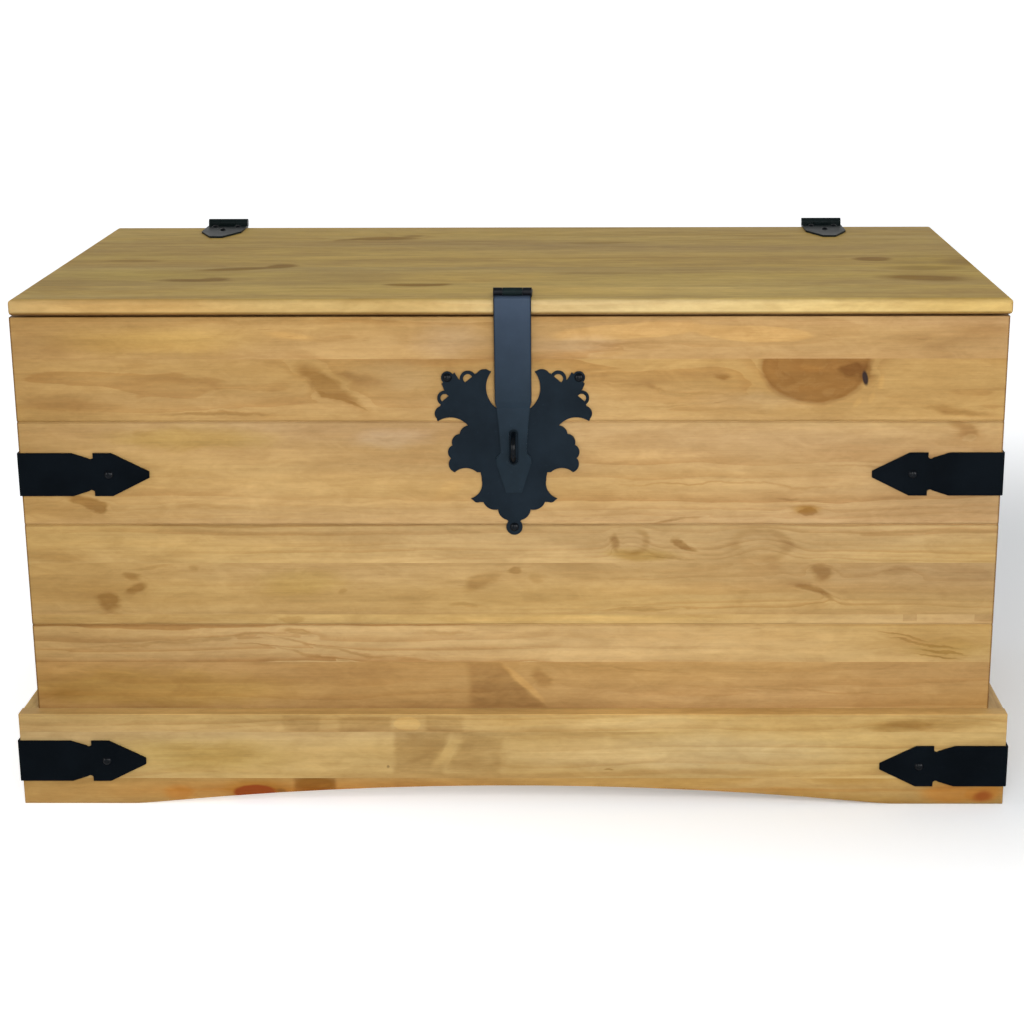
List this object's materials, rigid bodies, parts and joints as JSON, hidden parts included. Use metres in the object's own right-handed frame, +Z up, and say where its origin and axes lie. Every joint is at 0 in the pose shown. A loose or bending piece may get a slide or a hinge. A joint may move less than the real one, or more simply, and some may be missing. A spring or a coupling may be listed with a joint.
{
  "type": "storage chest",
  "caption": "Rectangular wooden storage chest with a hinged lid, a low arched plinth, black iron corner straps and a hasp that closes over a staple.",
  "frame": {"origin": "on the floor, at the centre of the overall box", "axes": "+Z up, the front with the hasp faces -Y, +X to the right seen from the front"},
  "size_m": [0.9188, 0.5078, 0.4791],
  "materials": {
    "pine_walls": "antique wax on pine",
    "pine_lid": "antique wax on pine, seen darker from above",
    "pine_plinth": "antique wax on pine, lighter boards",
    "pine_frame": "planed pine",
    "plywood": "unfinished",
    "black_iron": "satin black lacquer",
    "zinc_steel": "zinc plated"
  },
  "bodies": {
    "chest": {"front_board_1": "pine_walls", "front_board_2": "pine_walls", "front_board_3": "pine_walls", "front_board_4": "pine_walls", "back_board_1": "pine_walls", "back_board_2": "pine_walls", "back_board_3": "pine_walls", "back_board_4": "pine_walls", "left_board_1": "pine_walls", "left_board_2": "pine_walls", "left_board_3": "pine_walls", "left_board_4": "pine_walls", "right_board_1": "pine_walls", "right_board_2": "pine_walls", "right_board_3": "pine_walls", "right_board_4": "pine_walls", "post_front_left": "pine_frame", "post_front_right": "pine_frame", "post_back_left": "pine_frame", "post_back_right": "pine_frame", "bottom_panel": "plywood", "cleat_front": "pine_frame", "cleat_back": "pine_frame", "cleat_left": "pine_frame", "cleat_right": "pine_frame", "cleat_screws": "zinc_steel", "plinth_front": "pine_plinth", "plinth_left": "pine_plinth", "plinth_right": "pine_plinth", "plinth_back": "pine_plinth", "body_strap_left": "black_iron", "body_strap_right": "black_iron", "plinth_strap_left": "black_iron", "plinth_strap_right": "black_iron", "strap_nails": "black_iron", "hasp_plate": "black_iron", "plate_nails": "black_iron", "staple": "black_iron", "hinge_body_leaf_left": "black_iron", "hinge_body_leaf_right": "black_iron", "hinge_pins": "black_iron", "stay_guide": "zinc_steel", "body_hardware_screws": "black_iron"},
    "lid": {"lid_board_1": "pine_lid", "lid_board_2": "pine_lid", "lid_board_3": "pine_lid", "lid_board_4": "pine_lid", "lid_batten_left": "pine_frame", "lid_batten_right": "pine_frame", "batten_screws": "zinc_steel", "hinge_lid_leaf_left": "black_iron", "hinge_lid_leaf_right": "black_iron", "lid_hardware_screws": "black_iron", "hasp_leaf": "black_iron", "hasp_pin": "black_iron", "stay_bracket": "zinc_steel"},
    "hasp": {"hasp_strap": "black_iron"},
    "stay": {"stay_arm": "zinc_steel"}
  },
  "joints": [
    {"name": "lid_hinge", "type": "hinge", "parent": "chest", "child": "lid", "pos_m": [0, 0.2497, 0.47425], "axis": [-1, 0, 0], "range_deg": [0, 95]},
    {"name": "hasp_hinge", "type": "hinge", "parent": "lid", "child": "hasp", "pos_m": [0.0036, -0.22705, 0.4752], "axis": [-1, 0, 0], "range_deg": [0, 205]},
    {"name": "stay_pivot", "type": "hinge", "parent": "lid", "child": "stay", "pos_m": [0.40845, 0.07179, 0.4469], "axis": [-1, 0, 0], "range_deg": [-47.5, 0]}
  ],
  "couplings": [
    {"joint": "stay_pivot", "follows": "lid_hinge", "ratio": -0.5}
  ]
}
